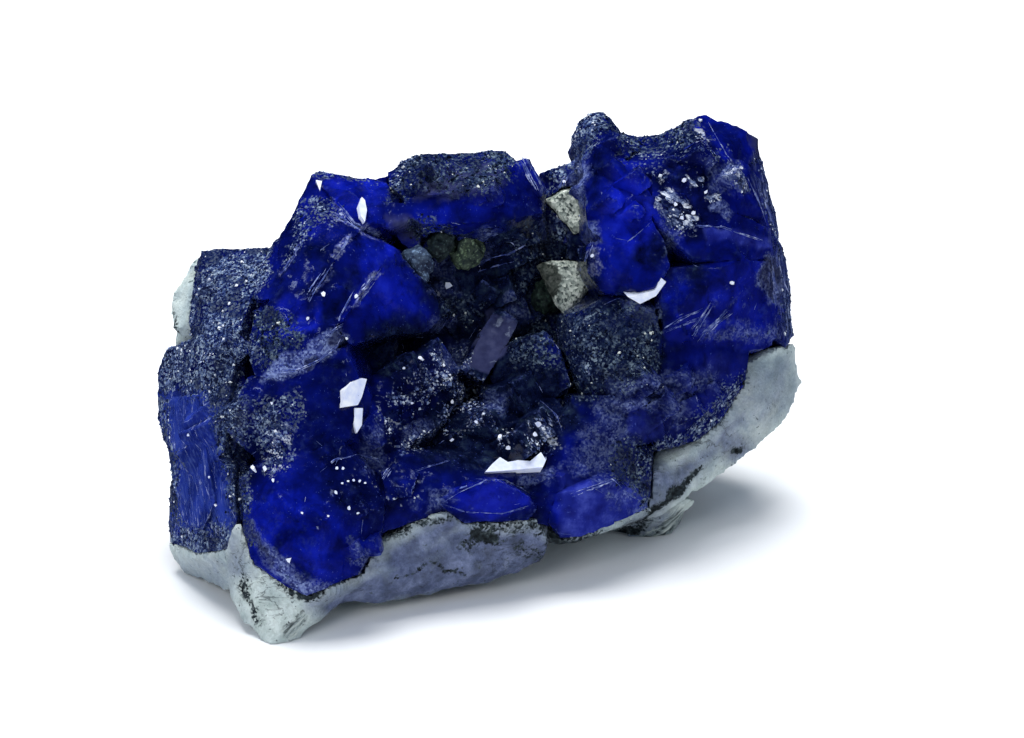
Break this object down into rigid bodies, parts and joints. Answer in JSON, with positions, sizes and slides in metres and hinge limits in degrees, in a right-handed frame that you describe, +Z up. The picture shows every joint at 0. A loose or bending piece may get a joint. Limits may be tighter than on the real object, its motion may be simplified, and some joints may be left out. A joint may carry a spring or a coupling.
{
  "type": "rough sapphire",
  "caption": "Rough sapphire hand specimen: intergrown deep blue crystal blocks round a druse-lined hollow, set in pale host rock that stands on flat-bottomed feet.",
  "frame": {"origin": "on the surface that the specimen rests on, under the middle of its box", "axes": "+X along the specimen's length, to the right as its show face is seen; +Y away from the show face; +Z up"},
  "size_m": [0.065, 0.049, 0.0404],
  "materials": {
    "sapphire": "glassy deep blue crystal, frosted with pale druse in patches",
    "matrix": "rough broken host rock",
    "feldspar": "granular, dull",
    "pebble": "smooth, satin"
  },
  "bodies": {
    "root": {"sapphire": "sapphire", "matrix": "matrix", "feldspar_grain": "feldspar", "feldspar_sliver": "feldspar", "green_pebble": "pebble", "green_pebble_left": "pebble", "grey_pebble": "pebble", "dark_pebble": "pebble"}
  },
  "joints": []
}
